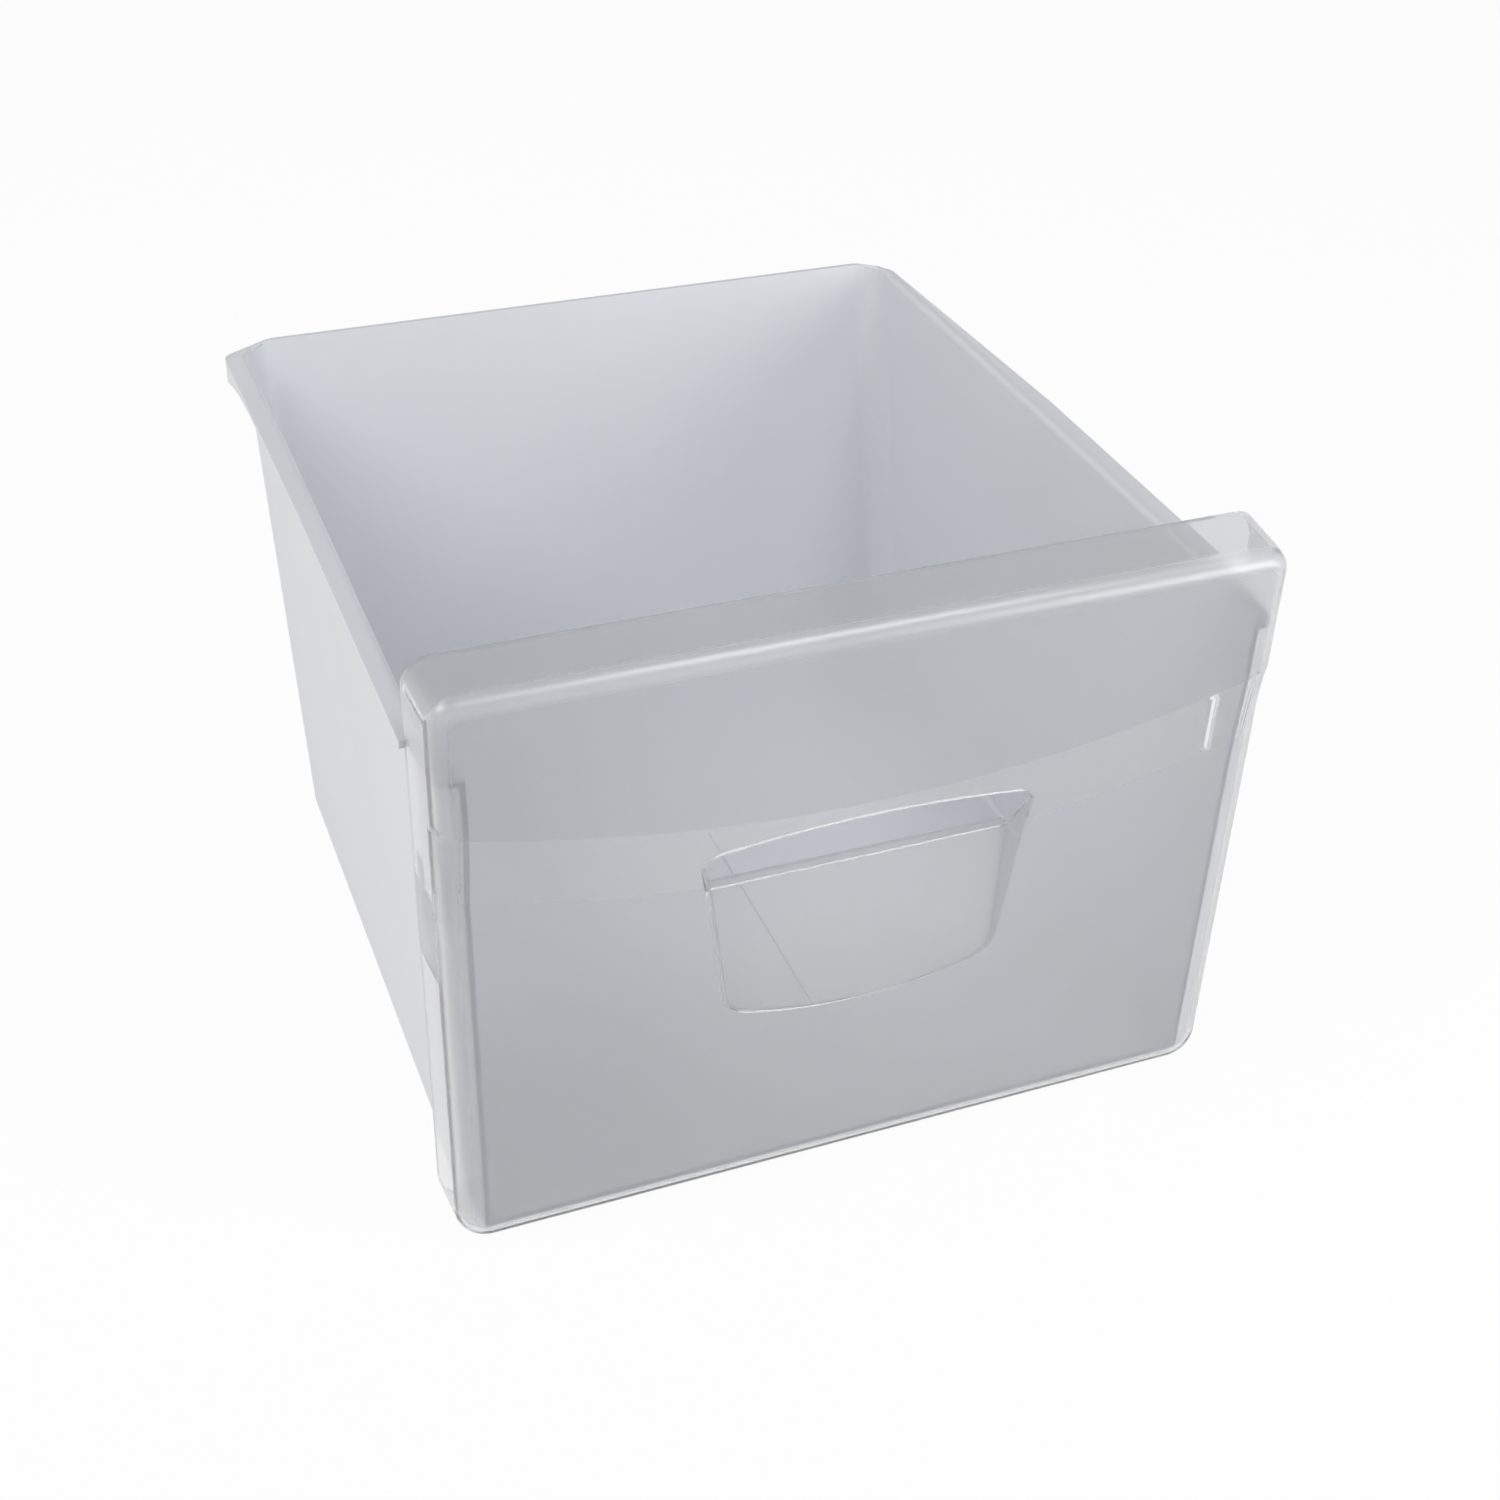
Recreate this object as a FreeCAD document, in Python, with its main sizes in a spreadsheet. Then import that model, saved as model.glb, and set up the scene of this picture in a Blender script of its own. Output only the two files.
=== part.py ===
import FreeCAD, Part
import os
import Sketcher

# Fridge drawer: a white moulded tub with runner flanges, closed at the front by a clear
# moulded panel with a finger scoop. The drawing frame has x across, y from the front
# backwards and z up from the panel's lower edge. Both pieces are drawn as right halves
# and mirrored, then moved so that the origin is under the middle of the whole drawer.
# Only the channel in the tub's floor is not mirrored.

SIZES = {
    # front panel
    "panel_gap": 9.0,
    "panel_height": 292.5,
    "panel_wall": 2.5,
    "flange_depth": 35.0,
    "flange_flare": 2.5,
    "edge_round": 9.0,
    "top_corner": 12.0,
    "foot_corner": 16.0,
    # the upper part of the face stands proud of the lower part, over a curved sloping band
    "face_step": 3.0,
    "band_low": 171.5,
    "band_rise": 33.3,
    "band_sag": 27.5,
    "corner_low": 205.0,
    "corner_rise": 27.0,
    # finger scoop
    "grip_top_width": 154.0,
    "grip_foot_width": 128.0,
    "grip_top": 193.0,
    "grip_foot": 105.6,
    "grip_arch": 6.1,
    "grip_sag": 9.9,
    "grip_top_round": 7.0,
    "grip_foot_round": 13.0,
    "grip_draft": 0.42,
    "scoop_depth": 9.2,
    "scoop_start": 0.8,
    "scoop_top": 168.8,
    "scoop_lip": 5.5,
    # tub, with a narrower neck at the front that goes into the panel
    "tub_floor_width": 364.0,
    "tub_rim_width": 370.0,
    "tub_wall": 2.5,
    "floor_level": 8.5,
    "rim_level": 257.0,
    "tub_back_low": 357.5,
    "tub_back_high": 421.5,
    "tub_corner": 17.5,
    "floor_round": 5.0,
    "neck_floor_step": 5.75,
    "neck_rim_step": 8.0,
    "neck_length": 40.0,
    "channel_left": 38.5,
    "channel_right": 17.5,
    "channel_ramp": 5.5,
    "channel_drop": 1.2,
    "channel_end": 26.0,
    # runner flanges along the tub's rim
    "runner_reach": 8.0,
    "runner_wall": 2.4,
    "runner_bead": 3.4,
    "runner_bend": 225.0,
    "runner_drop": 7.0,
    "hook_start": 355.0,
    "runner_hook": 14.0,
    "hook_ease": 3.0,
    "runner_corner": 4.0,
    "runner_tail": 24.0,
    "runner_fade": 1.0,
    # rounding where the tub's inside curves over into the runner flanges
    "rim_round": 5.0,
    "rim_fade": 18.0,
    "rim_ease": 1.0,
    "rim_edge": 0.5,
    # catches that hold the panel on the tub
    "catch_front": 23.0,
    "catch_length": 10.0,
    "catch_tip": 3.0,
    "catch_foot": 172.0,
    "catch_height": 34.0,
    "catch_reach": 0.4,
    "catch_play": 0.5,
    # clearance between the tub's front edge and the panel
    "seat_gap": 0.15,
}

doc = FreeCAD.newDocument("fridge_drawer")
sheet = doc.addObject("Spreadsheet::Sheet", "Sizes")
for row, (alias, number) in enumerate(SIZES.items(), start=1):
    sheet.set(f"A{row}", alias)
    sheet.set(f"B{row}", str(number))
    sheet.setAlias(f"B{row}", alias)
doc.recompute()


class Size:
    """A length with the expression that gives it, so that both are written once."""

    def __init__(self, value, text):
        self.value = value
        self.text = text

    def __add__(self, other):
        other = as_size(other)
        return Size(self.value + other.value, f"({self.text} + {other.text})")

    def __sub__(self, other):
        other = as_size(other)
        return Size(self.value - other.value, f"({self.text} - {other.text})")

    def __mul__(self, other):
        other = as_size(other)
        return Size(self.value * other.value, f"({self.text} * {other.text})")

    def __truediv__(self, other):
        other = as_size(other)
        return Size(self.value / other.value, f"({self.text} / {other.text})")

    def __neg__(self):
        return Size(-self.value, f"(-1 * {self.text})")


def as_size(value):
    if isinstance(value, Size):
        return value
    return Size(float(value), f"({value})")


def size(alias):
    return Size(float(sheet.get(alias)), f"Sizes.{alias}")


PAST = 1.0          # how far a cutting shape runs past the face that it cuts
TINY = 1e-4         # tolerance when an edge is looked up by its place
FOOT_TURN = 0.64    # tangent of half the angle through which the scoop's lower corners turn


def bind(obj, prop, value):
    obj.setExpression(prop, as_size(value).text)


def arc_between(start, end, radius, turn):
    """The short arc from start to end; turn is 1 where it bends left, -1 where it bends right."""
    chord = end - start
    left = FreeCAD.Vector(-chord.y, chord.x, 0).normalize()
    rise = max(radius ** 2 - (chord.Length / 2) ** 2, 0) ** 0.5
    bulge = (start + end) * 0.5 - left * ((radius - rise) * turn)
    return Part.Arc(start, bulge, end)


def outline(body, name, plane, offset, corners):
    """A closed sketch. A corner is (x, y), or (x, y, radius, turn) where an arc leaves it."""
    sketch = body.newObject("Sketcher::SketchObject", name)
    base = next(f for f in body.Origin.OriginFeatures if f.Role == plane)
    sketch.AttachmentSupport = [(base, "")]
    sketch.MapMode = "FlatFace"
    bind(sketch, "AttachmentOffset.Base.z", offset)
    places = [(as_size(c[0]), as_size(c[1])) for c in corners]
    points = [FreeCAD.Vector(x.value, y.value, 0) for x, y in places]
    starts = []
    ends = []
    for i, corner in enumerate(corners):
        begin = points[i]
        finish = points[(i + 1) % len(points)]
        if len(corner) == 2:
            sketch.addGeometry(Part.LineSegment(begin, finish), False)
            starts.append(1)
            ends.append(2)
        else:
            sketch.addGeometry(arc_between(begin, finish, as_size(corner[2]).value, corner[3]), False)
            starts.append(1 if corner[3] > 0 else 2)
            ends.append(2 if corner[3] > 0 else 1)
    for i, corner in enumerate(corners):
        following = (i + 1) % len(corners)
        sketch.addConstraint(Sketcher.Constraint("Coincident", i, ends[i], following, starts[following]))
        for kind, place in zip(("DistanceX", "DistanceY"), places[i]):
            number = sketch.addConstraint(Sketcher.Constraint(kind, -1, 1, i, starts[i], place.value))
            sketch.renameConstraint(number, f"{kind}_{i}")
            bind(sketch, f"Constraints.{kind}_{i}", place)
        if len(corner) > 2:
            radius = as_size(corner[2])
            number = sketch.addConstraint(Sketcher.Constraint("Radius", i, radius.value))
            sketch.renameConstraint(number, f"Radius_{i}")
            bind(sketch, f"Constraints.Radius_{i}", radius)
    return sketch


def new_body(name):
    return doc.addObject("PartDesign::Body", name)


def loft(body, sketches):
    """Straight between two sketches."""
    first, last = sketches
    feature = body.newObject("PartDesign::AdditiveLoft", f"{body.Name}_loft")
    feature.Profile = first
    feature.Sections = [last]
    feature.Ruled = True
    doc.recompute()
    return feature


def pad(body, sketch, length, backwards=False):
    feature = body.newObject("PartDesign::Pad", f"{body.Name}_pad")
    feature.Profile = sketch
    feature.Reversed = backwards
    bind(feature, "Length", length)
    doc.recompute()
    return feature


def pocket(body, sketch, length):
    """Cut along the side that a pad of the same sketch would fill."""
    feature = body.newObject("PartDesign::Pocket", f"{body.Name}_pocket")
    feature.Profile = sketch
    feature.Reversed = True
    bind(feature, "Length", length)
    doc.recompute()
    return feature


def fillet(body, feature, radius, wanted):
    """Round the edges of a body's last feature whose end points all pass the test."""
    edges = feature.Shape.Edges
    names = [f"Edge{i}" for i, e in enumerate(edges, start=1) if wanted([v.Point for v in e.Vertexes])]
    rounded = body.newObject("PartDesign::Fillet", f"{body.Name}_{feature.Name}_round")
    rounded.Base = (feature, names)
    bind(rounded, "Radius", radius)
    doc.recompute()
    return rounded


def combine(kind, name, base, tool):
    result = doc.addObject(f"Part::{kind}", name)
    result.Base = base
    result.Tool = tool
    result.Refine = True
    doc.recompute()
    return result


def block(name, low, high):
    """A box between two corners, each given as three sizes."""
    box = doc.addObject("Part::Box", name)
    for side, prop, start, end in zip("xyz", ("Length", "Width", "Height"), low, high):
        bind(box, prop, as_size(end) - as_size(start))
        bind(box, f"Placement.Base.{side}", start)
    return box


def near(value, target):
    return abs(value - target) < TINY


half_panel = size("tub_rim_width") / 2 - size("neck_rim_step") + size("panel_gap") + size("panel_wall")
widest_panel = half_panel + size("flange_flare")
half_runners = size("tub_rim_width") / 2 + size("runner_reach")
overall_depth = size("tub_back_high")


# Front panel


def flare_at(depth):
    return size("flange_flare") * depth / size("flange_depth")


def tray(name, front, back, inset):
    """The filled outer form of the panel, drawn in by inset on every side but the back. Its
    sides and top flare towards the back."""
    body = new_body(name)
    foot = as_size(inset)
    face = as_size(front) + inset
    ahead = face - PAST
    behind = as_size(back) + PAST
    wide = widest_panel + flare_at(behind)
    high = size("panel_height") + flare_at(behind) + PAST
    middle = size("panel_height") / 2
    sketch = outline(body, f"{name}_face", "XZ_Plane", -face, [
        (0, foot),
        (wide, foot),
        (wide, high),
        (0, high),
    ])
    pad(body, sketch, as_size(back) - face, backwards=True)
    beside = outline(body, f"{name}_side", "XY_Plane", foot - PAST, [
        (half_panel - inset + flare_at(ahead), ahead),
        (wide + PAST, ahead),
        (wide + PAST, behind),
        (half_panel - inset + flare_at(behind), behind),
    ])
    pocket(body, beside, high + PAST)
    above = outline(body, f"{name}_top", "YZ_Plane", 0, [
        (ahead, size("panel_height") - inset + flare_at(ahead)),
        (behind, size("panel_height") - inset + flare_at(behind)),
        (behind, high + PAST),
        (ahead, high + PAST),
    ])
    flared = pocket(body, above, wide + PAST)

    def runs_back(points):
        return not near(points[0].y, points[1].y) and all(p.x > TINY for p in points)

    def high_corner(points):
        return runs_back(points) and all(p.z > middle.value for p in points)

    def low_corner(points):
        return runs_back(points) and all(p.z < middle.value for p in points)

    def on_face(points):
        return all(near(p.y, face.value) for p in points) and not all(near(p.x, 0) for p in points)

    topped = fillet(body, flared, size("top_corner") - inset, high_corner)
    footed = fillet(body, topped, size("foot_corner") - inset, low_corner)
    fillet(body, footed, size("edge_round") - inset, on_face)
    return body


def below_band(name, inset, back):
    """Everything under the sloping band, which falls from the proud face to the lower one."""
    body = new_body(name)
    reach = widest_panel + PAST
    sag = size("band_sag")
    radius = (reach * reach + sag * sag) / (sag * 2)
    slope = size("band_rise") / size("face_step")
    levels = (
        (as_size(inset) - PAST, size("band_low") + size("band_rise") + slope * PAST),
        (size("face_step") + inset, size("band_low")),
    )
    sections = []
    for number, (depth, level) in enumerate(levels):
        sections.append(outline(body, f"{name}_{number}", "XZ_Plane", -depth, [
            (0, -PAST),
            (reach, -PAST),
            (reach, level + sag, radius, -1),
            (0, level),
        ]))
    loft(body, sections)
    lower = outline(body, f"{name}_lower", "XZ_Plane", -(size("face_step") + inset), [
        (0, -PAST),
        (reach, -PAST),
        (reach, size("band_low") + sag, radius, -1),
        (0, size("band_low")),
    ])
    pad(body, lower, as_size(back) + PAST - size("face_step") - inset, backwards=True)
    return body


def beside_band(name, inset, back):
    """What the sloping band takes off the proud form round its front corner."""
    body = new_body(name)
    round_off = size("edge_round") - inset
    side = half_panel - inset
    rear = as_size(back) + PAST
    low = size("corner_low")
    high = low + size("corner_rise")

    def plan(title, level, face):
        return outline(body, f"{name}_{title}", "XY_Plane", level, [
            (0, face),
            (side - round_off, face, round_off, 1),
            (side, face + round_off),
            (widest_panel + PAST, rear),
            (0, rear),
        ])

    stepped = size("face_step") + inset
    pad(body, plan("below", 0, stepped), low)
    loft(body, [plan("low", low, stepped), plan("high", high, as_size(inset))])
    corner = block(f"{name}_corner", (half_panel - size("edge_round"), -PAST, size("band_low")),
                   (half_panel + PAST, size("face_step") + size("edge_round"), high))
    return combine("Cut", f"{name}_off", corner, body)


def panel_form(name, inset, back):
    """Lower face and proud upper face in one, as the outer form or as the hollow behind it."""
    lower = tray(f"{name}_low", size("face_step"), back, inset)
    upper = tray(f"{name}_high", 0, back, inset)
    under = below_band(f"{name}_under", inset, back)
    beside = beside_band(f"{name}_beside", inset, back)
    proud = combine("Cut", f"{name}_proud", combine("Cut", f"{name}_above", upper, under), beside)
    return combine("Fuse", f"{name}_form", lower, proud)


def grip_prism(name, grow, front, back):
    """The tapering prism of the scoop's outline, made larger by grow on every side."""
    body = new_body(name)
    arch = size("grip_arch")
    sag = size("grip_sag")
    top = size("grip_top") + grow
    foot = size("grip_foot") - grow
    top_round = size("grip_top_round") + grow
    foot_round = size("grip_foot_round") + grow
    foot_run = foot_round * FOOT_TURN
    sections = []
    for number, depth in enumerate((as_size(front), as_size(back))):
        shrink = size("grip_draft") * (depth - size("face_step"))
        top_half = size("grip_top_width") / 2 + grow - shrink
        foot_half = size("grip_foot_width") / 2 + grow - shrink
        splay = (top_half - foot_half) / (top - foot)
        top_end = (top_half - top_round) / top_half
        foot_end = (foot_half - foot_run) / foot_half
        sections.append(outline(body, f"{name}_{number}", "XZ_Plane", -depth, [
            (0, foot - sag, (foot_half * foot_half + sag * sag) / (sag * 2), 1),
            (foot_half - foot_run, foot - sag + sag * foot_end * foot_end, foot_round, 1),
            (foot_half + splay * foot_run, foot + foot_run),
            (top_half - splay * top_round, top - top_round, top_round, 1),
            (top_half - top_round, top + arch - arch * top_end * top_end,
             (top_half * top_half + arch * arch) / (arch * 2), 1),
            (0, top + arch),
        ]))
    loft(body, sections)
    return body


def side_profile(name, corners, half):
    """A shape with one side profile, given as (depth, height) corners, from the middle to half."""
    body = new_body(name)
    sketch = outline(body, f"{name}_profile", "YZ_Plane", 0, corners)
    pad(body, sketch, half)
    return body


def with_scoop(shell):
    """Add the finger scoop to the panel: a leaning back wall with a lip along its free top
    edge and two cheeks, open to the front and, above the lip, to the inside."""
    wall = size("panel_wall")
    face = size("face_step")
    lowest = size("grip_foot") - size("grip_sag")
    deepest = face + size("scoop_depth")
    start = face + size("scoop_start")
    lean = (deepest - start) / (size("scoop_top") - lowest)
    top = size("grip_top")
    band_share = (top - size("band_low")) / size("band_rise")
    width = size("grip_top_width")
    rear = side_profile("scoop_rear", [
        (start - lean * wall, lowest - wall),
        (start + wall, lowest - wall),
        (deepest + wall - lean * wall, size("scoop_top") - wall),
        (deepest + size("scoop_lip"), size("scoop_top") - wall),
        (deepest + size("scoop_lip"), size("scoop_top")),
        (deepest, size("scoop_top")),
        (face - face * band_share + wall / 2, top),
        (face + wall / 2, size("band_low")),
        (face + wall / 2, lowest),
    ], width)
    room = side_profile("scoop_room", [
        (-PAST, lowest - wall),
        (start - lean * wall, lowest - wall),
        (deepest + lean * wall, size("scoop_top") + wall),
        (deepest + lean * wall, top + size("grip_arch") + wall),
        (-PAST, top + size("grip_arch") + wall),
    ], width)
    deep = deepest + size("scoop_lip") + PAST
    outer = combine("Common", "scoop_outer", grip_prism("scoop_around", wall, -PAST, deep), rear)
    inner = combine("Common", "scoop_inner", grip_prism("scoop_within", 0, -PAST - PAST, deep + PAST), room)
    return combine("Cut", "panel_gripped", combine("Fuse", "panel_backed", shell, outer), inner)


def catch():
    """A wedge on the inside of the panel's side, which snaps into a window in the tub's wall."""
    body = new_body("panel_catch")
    root = widest_panel - size("panel_wall") / 2
    front = size("catch_front")
    tip = neck_side(front, size("catch_foot") + size("catch_height")) - size("tub_wall") + size("catch_reach")
    sketch = outline(body, "panel_catch_plan", "XY_Plane", size("catch_foot"), [
        (root, front),
        (root, front + size("catch_length")),
        (tip, front + size("catch_tip")),
        (tip, front),
    ])
    pad(body, sketch, size("catch_height"))
    return body


# Tub


def tub_share(level):
    """How far up the tub's walls a level is, from 0 at the floor to 1 at the rim."""
    return (as_size(level) - size("floor_level")) / (size("rim_level") - size("floor_level"))


def tub_half_width(level):
    spread = (size("tub_rim_width") - size("tub_floor_width")) * tub_share(level)
    return (size("tub_floor_width") + spread) / 2


def tub_back(level):
    return size("tub_back_low") + (size("tub_back_high") - size("tub_back_low")) * tub_share(level)


def neck_half_width(level):
    step = size("neck_floor_step") + (size("neck_rim_step") - size("neck_floor_step")) * tub_share(level)
    return tub_half_width(level) - step


def neck_side(depth, level):
    """Half the neck's width where it widens towards the tub."""
    spread = tub_half_width(level) - neck_half_width(level)
    return neck_half_width(level) + spread * depth / size("neck_length")


def tub_form(name, inset, low, high, front):
    """The tub's walls as a filled form, drawn in by inset, between two levels."""
    body = new_body(name)
    low = as_size(low)
    high = as_size(high)
    neck = size("neck_length")
    under = low - PAST
    over = high + PAST
    far = tub_back(over) + PAST

    def across(title, depth, half_width):
        return outline(body, f"{name}_{title}", "XZ_Plane", -as_size(depth), [
            (0, low),
            (half_width(low) - inset, low),
            (half_width(high) - inset, high),
            (0, high),
        ])

    pad(body, across("main", neck, tub_half_width), far - neck, backwards=True)
    behind = outline(body, f"{name}_behind", "YZ_Plane", 0, [
        (tub_back(under) - inset, under),
        (far + PAST, under),
        (far + PAST, over),
        (tub_back(over) - inset, over),
    ])
    form = pocket(body, behind, size("tub_rim_width"))

    def upright_at_back(points):
        upright = not near(points[0].z, points[1].z)
        return upright and all(p.x > TINY and p.y > neck.value + TINY for p in points)

    def on_floor(points):
        at_level = all(near(p.z, low.value) for p in points)
        at_front = all(near(p.y, neck.value) for p in points)
        return at_level and not at_front and not all(near(p.x, 0) for p in points)

    cornered = fillet(body, form, size("tub_corner") - inset, upright_at_back)
    fillet(body, cornered, size("floor_round") - inset, on_floor)
    loft(body, [across("mouth", front, neck_half_width), across("neck", neck, tub_half_width)])
    return body


def runner_fall(depth):
    """How far a runner's outer edge lies under the rim, behind the bend."""
    bend = size("runner_bend")
    return size("runner_drop") * (depth - bend) / (size("tub_back_high") - bend)


def rim_fall():
    """What is taken off the rim, so that the tub's inside curves over into the runner. It
    follows the inside corner at the back, and there the rounding runs out."""
    body = new_body("rim_fall")
    top = size("rim_level")
    inner = tub_half_width(top) - size("tub_wall")
    corner = size("tub_corner") - size("tub_wall")
    turn = size("tub_back_high") - size("tub_wall") - corner
    start = size("neck_length")
    full = size("rim_round")
    thin = size("rim_edge")
    reach = half_runners + PAST
    half_turn = corner * 0.5 ** 0.5
    stations = (
        (start, inner, thin, as_size(0)),
        (start + size("rim_fade"), inner, full, as_size(0)),
        (size("runner_bend"), inner, full, as_size(0)),
        (turn, inner, full, runner_fall(turn)),
        (turn + half_turn, inner - corner + half_turn, (full + thin) / 2, runner_fall(turn + half_turn)),
        (size("tub_back_high") + PAST, inner - corner, thin, size("runner_drop")),
    )
    sections = []
    for number, (depth, crest, rounding, fall) in enumerate(stations):
        ease = size("rim_ease") * fall / size("runner_drop") * rounding / full
        rise = rounding - ease
        radius = (rounding * rounding + rise * rise) / (rounding * 2)
        sections.append(outline(body, f"rim_fall_{number}", "XZ_Plane", -depth, [
            (crest - PAST, top - rounding),
            (crest, top - rounding, radius, -1),
            (crest + rounding, top - ease),
            (reach, top - fall - fall * PAST / (reach - crest)),
            (reach, top + PAST),
            (crest - PAST, top + PAST),
        ]))
    for pair in zip(sections, sections[1:]):
        loft(body, pair)
    return body


def runner(name, inset, front, back, deeper):
    """A runner flange as a filled form. It is level at the front, leans out and down towards
    the back and ends there in a hook, which turns round the tub's corner."""
    body = new_body(name)
    side = half_runners - inset
    root = size("tub_rim_width") / 2 - size("runner_tail")
    top = size("rim_level") - inset
    bend = size("runner_bend")
    hook_start = size("hook_start")
    hook_middle = (hook_start + size("tub_back_high")) / 2
    stations = (
        (as_size(front), as_size(0), size("runner_bead")),
        (bend, as_size(0), size("runner_bead")),
        (hook_start, runner_fall(hook_start), size("runner_bead")),
        (hook_middle, runner_fall(hook_middle), size("runner_bead") + size("hook_ease")),
        (size("tub_back_high"), size("runner_drop"), size("runner_hook")),
    )
    sections = []
    for number, (depth, drop, hang) in enumerate(stations):
        sections.append(outline(body, f"{name}_{number}", "XZ_Plane", -depth, [
            (root, top),
            (tub_half_width(size("rim_level")), top),
            (side, top - drop),
            (side, top - drop - hang - deeper),
            (root, top - drop - hang - deeper),
        ]))
    for pair in zip(sections, sections[1:]):
        loft(body, pair)
    corner = size("runner_corner") - inset
    plan = new_body(f"{name}_plan")
    footprint = outline(plan, f"{name}_footprint", "XY_Plane", 0, [
        (root, front),
        (side, front),
        (side, as_size(back) - corner, corner, 1),
        (side - corner, back),
        (root, as_size(back) - size("runner_fade")),
    ])
    pad(plan, footprint, size("rim_level") + PAST)
    return combine("Common", f"{name}_form", body, plan)


def tub_half():
    wall = size("tub_wall")
    floor = size("floor_level")
    walls = tub_form("tub_walls", 0, floor, size("rim_level"), 0)
    back = size("tub_back_high")
    flange = runner("runner_outer", 0, 0, back, 0)
    under = runner("runner_under", size("runner_wall"), -PAST, back - size("tub_corner"), PAST)
    gutter = combine("Cut", "runner_flange", flange, under)
    solid = combine("Cut", "tub_rimmed", combine("Fuse", "tub_with_runner", walls, gutter), rim_fall())
    hollow = tub_form("tub_hollow", wall, floor + wall, size("rim_level"), -PAST)
    open_tub = combine("Cut", "tub_open", solid, hollow)
    play = size("catch_play")
    middle = neck_side(size("catch_front") + size("catch_length") / 2,
                       size("catch_foot") + size("catch_height") / 2) - wall / 2
    window = block(
        "catch_window",
        (middle - wall - wall, size("catch_front") - play, size("catch_foot") - play),
        (middle + wall + wall, size("catch_front") + size("catch_length") + play,
         size("catch_foot") + size("catch_height") + play))
    windowed = combine("Cut", "tub_windowed", open_tub, window)
    behind = size("flange_depth") + size("seat_gap") + size("catch_play")
    seat = panel_form("seat", size("panel_wall") + size("seat_gap"), behind + PAST)
    ahead = block("ahead_of_tub", (-PAST, -PAST, -PAST),
                  (half_runners + half_panel, behind, size("panel_height") + PAST))
    return combine("Cut", "tub_half", windowed, combine("Cut", "panel_around_tub", ahead, seat))


def panel_half():
    wall = size("panel_wall")
    outer = panel_form("panel", 0, size("flange_depth"))
    room = panel_form("panel_room", wall, size("flange_depth") + PAST)
    shell = combine("Cut", "panel_shell", outer, room)
    return combine("Fuse", "panel_half", with_scoop(shell), catch())


def mirrored(name, half):
    """The whole piece from its right half."""
    other = doc.addObject("Part::Mirroring", f"{name}_left")
    other.Source = half
    other.Normal = (1, 0, 0)
    return combine("Fuse", name, half, other)


def with_channel(tub):
    """Sink a shallow channel into the floor, off the middle, with a ramp along its left side."""
    wall = size("tub_wall")
    floor = size("floor_level")
    drop = size("channel_drop")
    left = -size("channel_left")
    right = size("channel_right")
    start = size("neck_length")
    end = size("tub_back_low") - size("channel_end")

    def strip(name, level, grow, over):
        body = new_body(name)
        sketch = outline(body, f"{name}_profile", "XZ_Plane", -(start - grow), [
            (left - size("channel_ramp") - grow, level),
            (left - grow, level - drop),
            (right + grow, level - drop),
            (right + grow, level + over),
            (left - size("channel_ramp") - grow, level + over),
        ])
        pad(body, sketch, end - start + grow + grow, backwards=True)
        return body

    keeled = combine("Fuse", "tub_keeled", tub, strip("floor_keel", floor, wall, wall / 2))
    return combine("Cut", "tub_drained", keeled, strip("floor_channel", floor + wall, as_size(0), PAST))


def placed(label, whole):
    """Move a whole piece to stand round the origin."""
    whole.Label = label
    bind(whole, "Placement.Base.y", -(overall_depth / 2))
    doc.recompute()
    return whole


pieces = [
    placed("drawer_tub", with_channel(mirrored("tub_whole", tub_half()))),
    placed("front_panel", mirrored("panel_whole", panel_half())),
]
doc.recompute()

for item in doc.Objects:
    if "Invalid" in item.State or "Error" in item.State:
        raise RuntimeError(f"{item.Name} failed: {item.State}")
for piece in pieces:
    if piece.Shape.isNull() or not piece.Shape.isValid():
        raise RuntimeError(f"{piece.Label} has no valid shape")

os.makedirs("parts", exist_ok=True)
for piece in pieces:
    box = piece.Shape.BoundBox
    print(piece.Label, len(piece.Shape.Solids), "solid", round(piece.Shape.Volume), "mm3",
          [round(v, 2) for v in (box.XMin, box.XMax, box.YMin, box.YMax, box.ZMin, box.ZMax)])
    piece.Shape.exportStep(f"parts/{piece.Label}.step")
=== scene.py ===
import bpy
from mathutils import Matrix, Vector

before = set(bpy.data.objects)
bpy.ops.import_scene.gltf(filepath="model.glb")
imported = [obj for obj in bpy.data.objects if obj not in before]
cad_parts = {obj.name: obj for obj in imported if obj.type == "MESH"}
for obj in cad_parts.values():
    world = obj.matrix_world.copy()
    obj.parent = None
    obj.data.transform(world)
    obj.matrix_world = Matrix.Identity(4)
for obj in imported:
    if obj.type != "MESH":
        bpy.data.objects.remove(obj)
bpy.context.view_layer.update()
print("drawer: frame loaded", sorted(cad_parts))

camera = {
    "place": (-0.329825, -0.869541, 0.746263),
    "right": (0.9320397, -0.3613179, 0.0274104),
    "up": (0.1873031, 0.5451494, 0.8171473),
    "back": (-0.3101927, -0.7564797, 0.5757768),
    "sensor": 36.0,
    "lens": 52.164,
    "shift": (0.0010, 0.0020),
    "nearest": 0.01,
}


def addCamera(spec):
    data = bpy.data.cameras.new("camera")
    data.sensor_width = spec["sensor"]
    data.lens = spec["lens"]
    data.shift_x, data.shift_y = spec["shift"]
    data.clip_start = spec["nearest"]
    view = bpy.data.objects.new("camera", data)
    bpy.context.scene.collection.objects.link(view)
    turn = Matrix((spec["right"], spec["up"], spec["back"])).transposed().to_4x4()
    view.matrix_world = Matrix.Translation(spec["place"]) @ turn
    bpy.context.scene.camera = view


addCamera(camera)
print("drawer: camera set")


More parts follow.
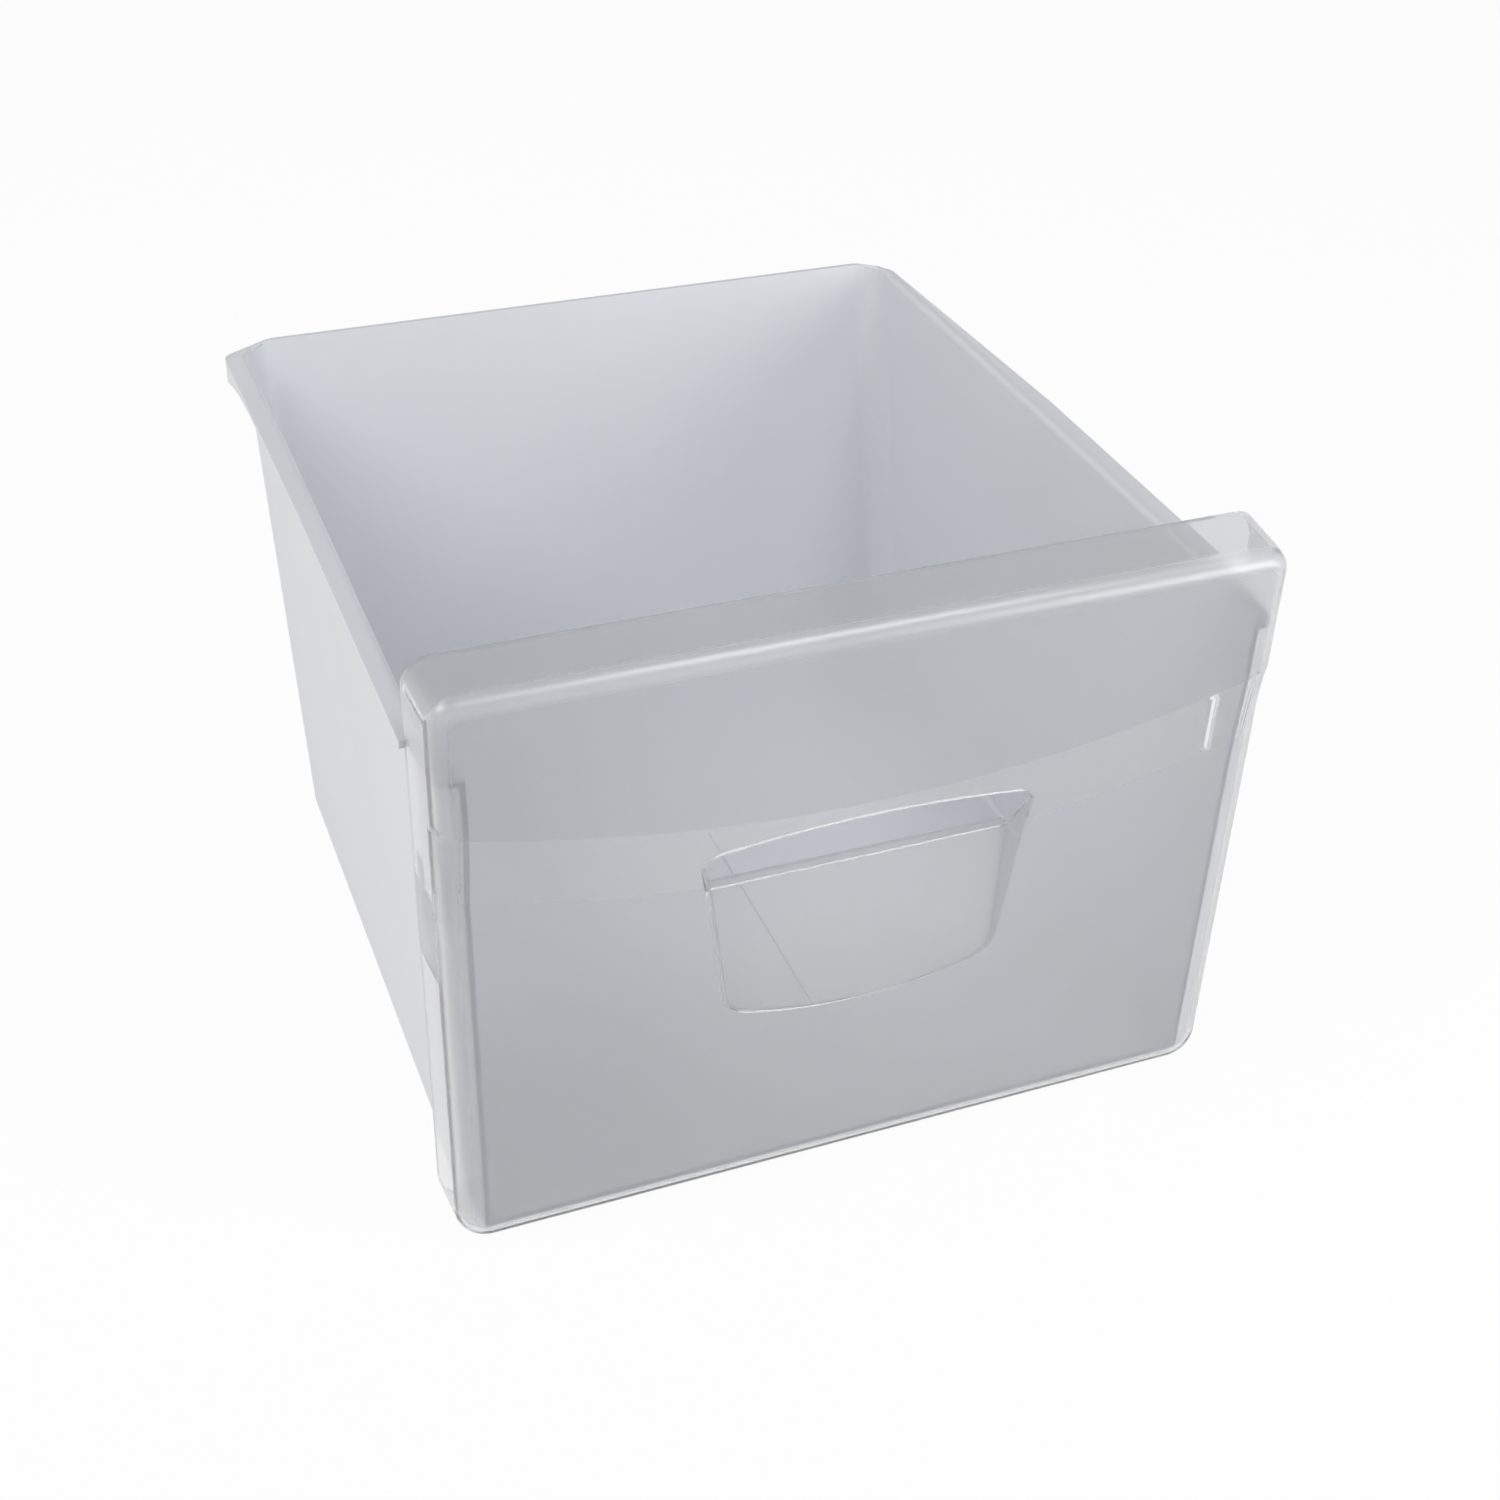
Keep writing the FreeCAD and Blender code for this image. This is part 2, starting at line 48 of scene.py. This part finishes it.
class Wire:
    # one socket of a node; sums on it add Math nodes
    def __init__(self, tree, socket):
        self.tree = tree
        self.socket = socket

    def beside(self, name):
        # another output of the same node
        return Wire(self.tree, self.socket.node.outputs[name])

    def math(self, operation, first, second=0.0):
        node = self.tree.nodes.new("ShaderNodeMath")
        node.operation = operation
        for slot, value in zip(node.inputs, (first, second)):
            if isinstance(value, Wire):
                self.tree.links.new(value.socket, slot)
            else:
                slot.default_value = value
        return Wire(self.tree, node.outputs[0])

    def __add__(self, other):
        return self.math("ADD", self, other)

    def __radd__(self, other):
        return self.math("ADD", other, self)

    def __sub__(self, other):
        return self.math("SUBTRACT", self, other)

    def __rsub__(self, other):
        return self.math("SUBTRACT", other, self)

    def __mul__(self, other):
        return self.math("MULTIPLY", self, other)

    def __rmul__(self, other):
        return self.math("MULTIPLY", other, self)

    def __abs__(self):
        return self.math("ABSOLUTE", self)

    def most(self, other):
        return self.math("MAXIMUM", self, other)


class Finish:
    # the nodes of one material, or of the sky
    def __init__(self, owner):
        owner.use_nodes = True
        self.owner = owner
        self.tree = owner.node_tree
        self.tree.nodes.clear()

    def node(self, kind, settings=None, sockets=None, out=0):
        node = self.tree.nodes.new(kind)
        for key, value in (settings or {}).items():
            setattr(node, key, value)
        for key, value in (sockets or {}).items():
            slot = node.inputs[key]
            if isinstance(value, Wire):
                self.tree.links.new(value.socket, slot)
            else:
                slot.default_value = value
        return Wire(self.tree, node.outputs[out]) if len(node.outputs) else None

    def split(self, vector):
        first = self.node("ShaderNodeSeparateXYZ", None, {0: vector})
        return first, first.beside("Y"), first.beside("Z")

    def place(self):
        return self.node("ShaderNodeTexCoord", out="Object")

    def facing(self):
        # outward normal of the solid, also where a ray meets it from inside
        normal = self.node("ShaderNodeNewGeometry", out="Normal")
        turned = 1 - normal.beside("Backfacing") * 2
        return [part * turned for part in self.split(normal)]

    def rise(self, value, low, high):
        # 0 below low, 1 above high, smooth between
        return self.node("ShaderNodeMapRange", {"interpolation_type": "SMOOTHSTEP"},
                         {"Value": value, "From Min": low, "From Max": high})

    def fall(self, value, low, high):
        return 1 - self.rise(value, low, high)

    def noise(self, point, scale, detail, rough):
        return self.node("ShaderNodeTexNoise", None,
                         {"Vector": point, "Scale": scale, "Detail": detail, "Roughness": rough})

    def blend(self, share, first, second):
        return self.node("ShaderNodeMix", {"data_type": "RGBA"}, {0: share, 6: first, 7: second}, out=2)

    def bump(self, height, strength, distance):
        return self.node("ShaderNodeBump", None,
                         {"Height": height, "Strength": strength, "Distance": distance})

    def surface(self, wire, output="ShaderNodeOutputMaterial"):
        self.node(output, None, {"Surface": wire})
        return self.owner


# noises are scale, detail, roughness; pairs are where a smooth step starts and ends
tubLook = {
    "white": (0.805, 0.822, 0.858, 1.0),
    "cool": (0.790, 0.808, 0.847, 1.0),
    "cloud": (6.0, 3.0, 0.5),
    "cloudStep": (0.35, 0.65),
    # painted shade on the open front's edge, and where it lies
    "frontEdgeShade": (0.430, 0.470, 0.550, 1.0),
    "frontFacing": (-0.5, -0.2),
    "frontBack": (-0.196, -0.195),
    "frontSide": (0.181, 0.182),
    # painted shade on the up-facing rim and flange tops
    "rim": (0.665, 0.685, 0.735, 1.0),
    "rimFacing": (0.5, 0.9),
    "rimHeight": (0.225, 0.230),
    "polish": 0.36,
    "polishSpread": 0.10,
    "flow": (38.0, 4.0, 0.6),
    "grain": (900.0, 2.0, 0.5),
    "grainShare": 0.35,
    "grainDepth": 0.00004,
    "ior": 1.49,
    "bevel": 0.0007,
}


def tubPlastic(look):
    finish = Finish(bpy.data.materials.new("white_plastic"))
    point = finish.place()
    across, back, up = finish.split(point)
    ny, nz = finish.facing()[1:]
    cloud = finish.noise(point, *look["cloud"])
    flow = finish.noise(point, *look["flow"])
    grain = finish.noise(point, *look["grain"])
    tone = finish.blend(finish.rise(cloud, *look["cloudStep"]), look["white"], look["cool"])
    # painted shade: the open front's edge gets a dark blue-grey tone, for the dark frame seen through the
    # panel
    frontEdgeShade = finish.fall(ny, *look["frontFacing"]) * finish.fall(back, *look["frontBack"])
    frontEdgeShade = frontEdgeShade * finish.fall(abs(across), *look["frontSide"])
    tone = finish.blend(frontEdgeShade, tone, look["frontEdgeShade"])
    # painted shade: the up-facing tops of the rim and flanges get a darker tone
    rim = finish.rise(nz, *look["rimFacing"]) * finish.rise(up, *look["rimHeight"])
    tone = finish.blend(rim, tone, look["rim"])
    return finish.surface(finish.node("ShaderNodeBsdfPrincipled", None, {
        "Base Color": tone,
        "Roughness": look["polish"] + (flow - 0.5) * look["polishSpread"],
        "IOR": look["ior"],
        "Normal": finish.bump(grain, look["grainShare"], look["grainDepth"]),
    }))


panelLook = {
    "clear": (0.920, 0.926, 0.940, 1.0),
    "frost": (0.885, 0.897, 0.922, 1.0),
    "frostHigh": (0.745, 0.760, 0.797, 1.0),
    "edge": (0.922, 0.926, 0.938, 1.0),
    # painted shade on the panel's top deck
    "deckShade": (0.760, 0.764, 0.784, 1.0),
    "deckHeight": (0.2870, 0.2915),
    "speck": (0.560, 0.560, 0.570, 1.0),
    "speckSpacing": 60.0,
    "speckSize": (0.0245, 0.035),
    "speckChance": (0.50, 0.52),
    "speckShare": 0.6,
    "polish": 0.05,
    "frosting": 0.42,
    "frostSpread": 0.15,
    "edgeSatin": 0.25,
    "edgeGloss": 0.7,
    "faceGloss": 0.2,
    "glossFacing": (0.0, 0.6),
    "flow": (25.0, 3.0, 0.5),
    "grain": (1500.0, 2.0, 0.5),
    "grainShare": 0.08,
    "grainDepth": 0.00003,
    "bandLow": 0.1715,
    "bandRise": 0.0333,
    "bandSag": 0.0275,
    "reach": 0.192,
    "turn": (0.1785, 0.1865),
    "turnRise": 0.013,
    "turnPinch": 0.005,
    "soft": 0.0004,
    "marginSide": 0.176,
    "marginTop": 0.280,
    "marginFoot": 0.014,
    "faceBack": -0.2047,
    "faceFacing": (0.93, 0.985),
    "catchSide": (0.1700, 0.1705),
    "catchBack": (-0.1995, -0.1990),
    "catchFoot": (0.150, 0.151),
    "catchTop": (0.193, 0.194),
    "roundStart": (0.05, 0.25),
    "roundEnd": (0.990, 0.9995),
    "footHeight": (0.010, 0.020),
    "footClear": 0.6,
    "ior": 1.20,
    "passes": 0.82,
    "coatRoughness": 0.32,
    "coatIor": 2.0,
    "bevel": 0.0005,
}


def panelPlastic(look):
    finish = Finish(bpy.data.materials.new("clear_plastic"))
    point = finish.place()
    across, back, up = finish.split(point)
    ny, nz = finish.facing()[1:]
    side = abs(across)
    soft = look["soft"]
    # the band swings up as it goes round the front corners
    turn = finish.rise(side, *look["turn"])
    bow = look["bandLow"] + across * across * (look["bandSag"] / look["reach"] ** 2)
    bow = bow + turn * look["turnRise"]
    depth = look["bandRise"] - turn * look["turnPinch"]
    overBand = finish.rise(up - bow - depth, -soft, soft)
    underBand = finish.rise(bow - up, -soft, soft)
    margin = finish.rise(side, look["marginSide"], look["marginSide"] + soft)
    margin = margin.most(finish.rise(up, look["marginTop"], look["marginTop"] + soft))
    margin = margin.most(finish.fall(up, look["marginFoot"] - soft, look["marginFoot"]))
    # the frost is on the inside of the flat face and all over the snap catches
    onFace = finish.rise(ny, *look["faceFacing"])
    onFace = onFace * finish.fall(back, look["faceBack"] - soft, look["faceBack"])
    catch = finish.rise(side, *look["catchSide"]) * finish.rise(back, *look["catchBack"])
    catch = catch * finish.rise(up, *look["catchFoot"]) * finish.fall(up, *look["catchTop"])
    frost = ((overBand + underBand) * onFace).most(catch)
    # the rounded edges are satin, less so along the foot
    rounding = finish.rise(abs(ny), *look["roundStart"]) * finish.fall(abs(ny), *look["roundEnd"]) * margin
    foot = finish.fall(up, *look["footHeight"])
    satin = rounding * look["edgeSatin"] * (1 - foot * look["footClear"])
    satin = (frost * look["frosting"]).most(satin)
    tone = finish.blend(frost, look["clear"], look["frost"])
    tone = finish.blend(frost * overBand, tone, look["frostHigh"])
    tone = finish.blend(margin * (1 - frost), tone, look["edge"])
    # painted shade: the top deck of the panel gets a darker tone
    tone = finish.blend(finish.rise(up, *look["deckHeight"]), tone, look["deckShade"])
    # a few specks of dirt
    spot = finish.node("ShaderNodeTexVoronoi", None, {"Vector": point, "Scale": look["speckSpacing"]})
    chance = finish.node("ShaderNodeSeparateColor", None, {0: spot.beside("Color")})
    speck = finish.fall(spot, *look["speckSize"]) * finish.rise(chance, *look["speckChance"])
    tone = finish.blend(speck * look["speckShare"], tone, look["speck"])
    flow = finish.noise(point, *look["flow"])
    grain = finish.noise(point, *look["grain"])
    # the top rounding has the most gloss
    extra = rounding * finish.rise(nz, *look["glossFacing"])
    return finish.surface(finish.node("ShaderNodeBsdfPrincipled", None, {
        "Base Color": tone,
        "Roughness": look["polish"] + satin * (1 + (flow - 0.5) * look["frostSpread"]),
        "IOR": look["ior"],
        "Transmission Weight": look["passes"],
        "Coat Weight": look["faceGloss"] + extra * (look["edgeGloss"] - look["faceGloss"]),
        "Coat Roughness": look["coatRoughness"],
        "Coat IOR": look["coatIor"],
        "Normal": finish.bump(grain * frost, look["grainShare"], look["grainDepth"]),
    }))


trim = {
    "weld": 0.00002,
    "segments": 2,
    "sharpAngle": 0.6,
}


def dress(name, material, width):
    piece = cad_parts[name]
    piece.data.materials.clear()
    piece.data.materials.append(material)
    weld = piece.modifiers.new("weld", "WELD")
    weld.merge_threshold = trim["weld"]
    bevel = piece.modifiers.new("edges", "BEVEL")
    bevel.width = width
    bevel.segments = trim["segments"]
    bevel.limit_method = "ANGLE"
    bevel.angle_limit = trim["sharpAngle"]
    bevel.harden_normals = False
    normals = piece.modifiers.new("normals", "WEIGHTED_NORMAL")
    normals.keep_sharp = True


dress("drawer_tub", tubPlastic(tubLook), tubLook["bevel"])
dress("front_panel", panelPlastic(panelLook), panelLook["bevel"])
print("drawer: plastics on")

studio = {
    "floor": (0.95, 0.94, 0.925, 1.0),
    "floorLow": (0.96, 0.95, 0.94, 1.0),
    "floorMottle": (3.0, 2.0, 0.5),
    "floorSize": 8.0,
    "floorDrop": 0.0002,
    "backdrop": (1.0, 1.0, 1.0, 1.0),
    "white": 0.95,
    "sky": 0.72,
    "zenith": 0.15,
    "aim": (0, 0, 0.13),
}


def seen(finish):
    # 1 for what the camera sees, also in and through the plastic, 0 for light on the object
    direct = finish.node("ShaderNodeLightPath", out="Is Camera Ray")
    bounces = direct.beside("Diffuse Depth")
    direct = direct.most(direct.beside("Is Glossy Ray")).most(direct.beside("Is Transmission Ray"))
    return direct * (1 - bounces).most(0.0)


def addFloor(spec):
    finish = Finish(bpy.data.materials.new("floor"))
    mottle = finish.noise(finish.place(), *spec["floorMottle"])
    tone = finish.blend(mottle, spec["floor"], spec["floorLow"])
    matt = finish.node("ShaderNodeBsdfDiffuse", None, {"Color": tone})
    glow = finish.node("ShaderNodeEmission", None, {"Color": spec["backdrop"], "Strength": 1.0})
    share = seen(finish) * spec["white"]
    mixed = finish.node("ShaderNodeMixShader", None, {0: share, 1: matt, 2: glow})
    half = spec["floorSize"] / 2
    corners = [(-half, -half, 0), (half, -half, 0), (half, half, 0), (-half, half, 0)]
    mesh = bpy.data.meshes.new("floor")
    mesh.from_pydata(corners, [], [(0, 1, 2, 3)])
    floor = bpy.data.objects.new("floor", mesh)
    bpy.context.scene.collection.objects.link(floor)
    floor.location.z = -spec["floorDrop"]
    mesh.materials.append(finish.surface(mixed))


def addSky(spec):
    world = bpy.data.worlds.new("sky")
    bpy.context.scene.world = world
    finish = Finish(world)
    direct = seen(finish)
    # the tent is brighter round the sides than overhead
    height = finish.split(finish.node("ShaderNodeTexCoord", out="Generated"))[2].most(0.0)
    soft = spec["sky"] + (spec["zenith"] - spec["sky"]) * height
    level = direct + soft * (1 - direct)
    glow = finish.node("ShaderNodeBackground", None, {"Color": spec["backdrop"], "Strength": level})
    finish.surface(glow, "ShaderNodeOutputWorld")


lamps = {
    "over": {"place": (0.46, -0.72, 1.62), "size": 0.5, "watts": 5.2, "colour": (0.96, 0.98, 1.0)},
    "left": {"place": (-1.10, -0.30, 1.50), "size": 0.9, "watts": 9.8, "colour": (1.0, 0.985, 0.96)},
    "right": {"place": (0.75, -0.90, 0.50), "size": 0.5, "watts": 3.0, "colour": (1.0, 1.0, 1.0)},
}


def addLamp(name, spec):
    data = bpy.data.lights.new(name, "AREA")
    data.size = spec["size"]
    data.energy = spec["watts"]
    data.color = spec["colour"]
    lamp = bpy.data.objects.new(name, data)
    bpy.context.scene.collection.objects.link(lamp)
    lamp.location = spec["place"]
    aim = Vector(studio["aim"]) - Vector(spec["place"])
    lamp.rotation_euler = aim.to_track_quat("-Z", "Y").to_euler()


addFloor(studio)
addSky(studio)
for name, spec in lamps.items():
    addLamp(name, spec)
bpy.context.scene.view_settings.view_transform = "Standard"
print("drawer: studio lit")
